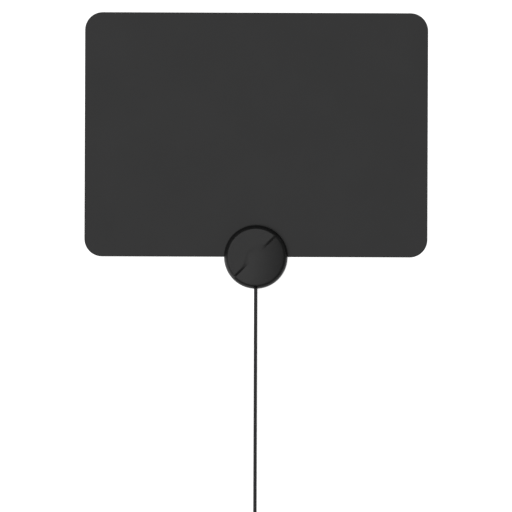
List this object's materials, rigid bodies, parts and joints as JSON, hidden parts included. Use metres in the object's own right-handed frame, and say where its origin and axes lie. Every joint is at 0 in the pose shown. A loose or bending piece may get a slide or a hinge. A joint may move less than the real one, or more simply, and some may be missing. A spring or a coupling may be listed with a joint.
{
  "type": "indoor tv antenna",
  "caption": "Flat rectangular indoor aerial: a thin laminated sheet with a round hub on its lower edge and a long thin coaxial lead ending in a push-on plug.",
  "frame": {"origin": "on the surface that the sheet's back lies on, under the middle of the sheet and hub together", "axes": "+X across the sheet, +Y up the sheet away from the lead, +Z out of the sheet's face"},
  "size_m": [0.33, 0.5486, 0.021],
  "materials": {
    "film": "matt, very fine grain",
    "foil": "bare foil",
    "adhesive": "clear film",
    "cover": "satin moulded",
    "screw": "zinc plated",
    "board": "solder resist",
    "contact": "bright",
    "ferrite": "sintered",
    "winding": "enamelled",
    "chip": "ceramic",
    "clamp": "moulded",
    "jacket": "smooth, slightly glossy",
    "insulation": "natural",
    "braid": "tinned",
    "tie": "satin",
    "boot": "moulded, fine grain",
    "plating": "nickel plated"
  },
  "bodies": {
    "root": {"rear_film": "film", "bond_film": "adhesive", "element_left": "foil", "element_right": "foil", "front_film": "film", "bonding_ring": "adhesive", "hub_front_cover": "cover", "hub_rear_cover": "cover", "cover_screws": "screw", "circuit_board": "board", "contact_left": "contact", "contact_right": "contact", "balun_core": "ferrite", "balun_winding": "winding", "chip_capacitors": "chip", "cable_clamp": "clamp", "clamp_screws": "screw", "cord_stub": "jacket", "coax_insulation": "insulation", "coax_core": "winding", "coax_braid": "braid", "cord_lead": "jacket", "cord_coil": "jacket", "cord_tail": "jacket", "coil_ties": "tie", "plug_body": "boot", "plug_sleeve": "plating", "plug_insulator": "insulation", "plug_pin": "plating"}
  },
  "joints": []
}
